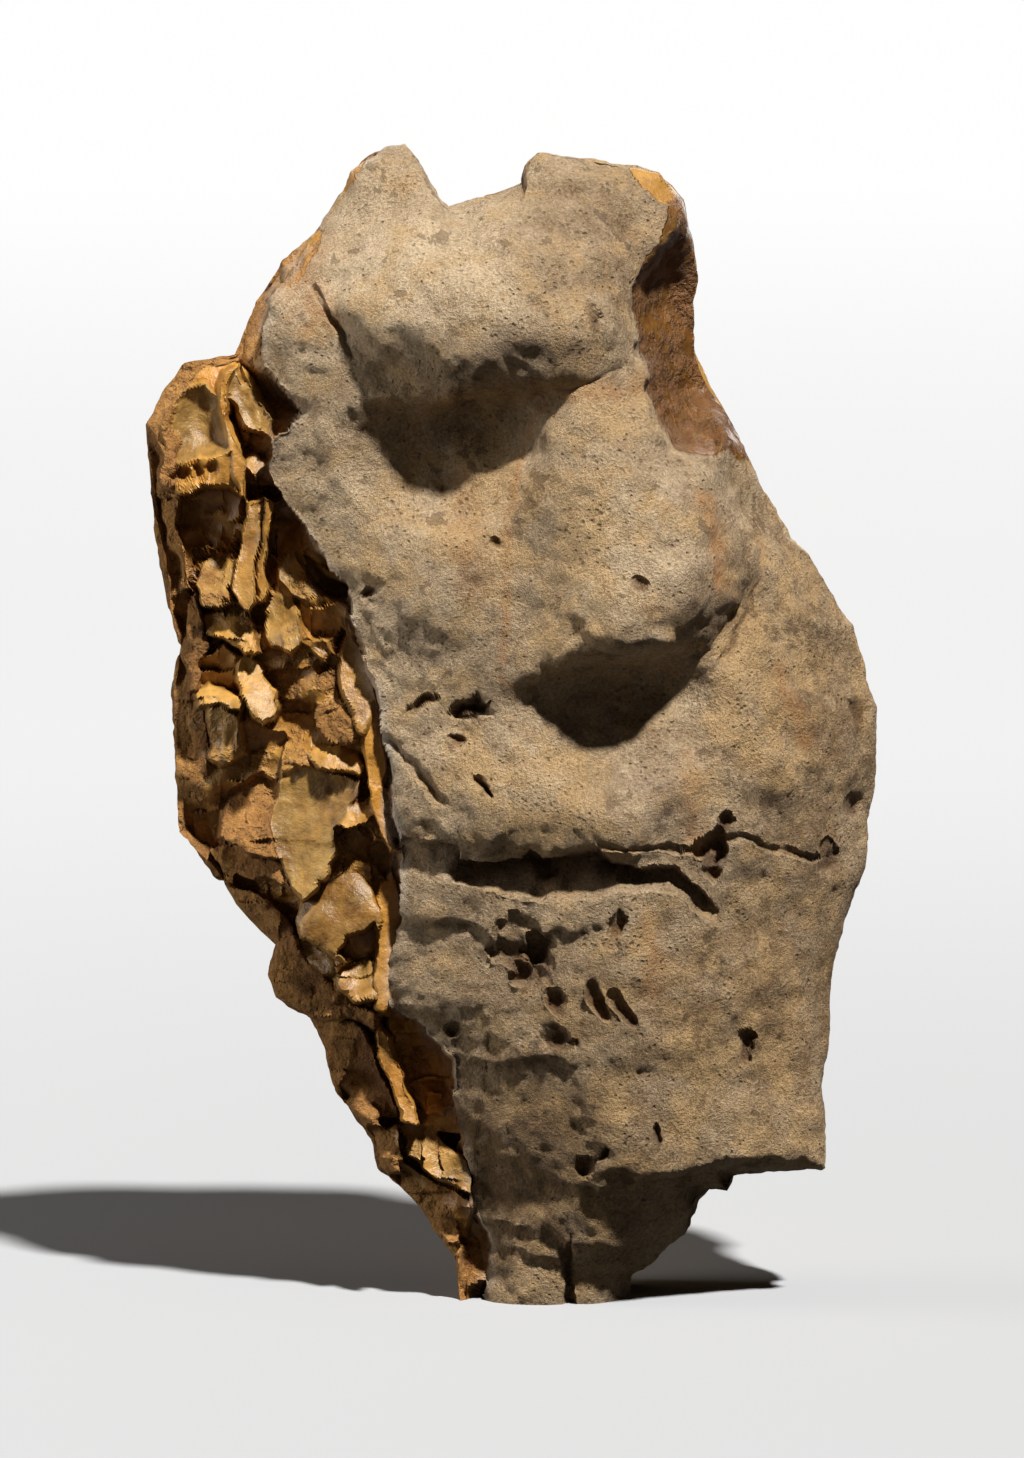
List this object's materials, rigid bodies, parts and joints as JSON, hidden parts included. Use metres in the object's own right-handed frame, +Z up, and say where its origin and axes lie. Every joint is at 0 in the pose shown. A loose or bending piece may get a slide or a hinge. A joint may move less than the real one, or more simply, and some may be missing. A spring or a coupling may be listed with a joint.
{
  "type": "flint nodule",
  "caption": "Natural flint nodule standing on end, with lumpy pale rind in front and broken flint with flake scars along one side.",
  "frame": {"origin": "middle of the box round the stone, at the height of the flat spot it rests on", "axes": "+Z up along the stone's length, +X to the right and -Y towards the viewer who faces the rind"},
  "size_m": [0.1518, 0.0846, 0.2399],
  "materials": {
    "stone": "rough, matte pale rind; waxy honey-brown where the flint is broken"
  },
  "bodies": {
    "root": {"flint_nodule": "stone"}
  },
  "joints": []
}
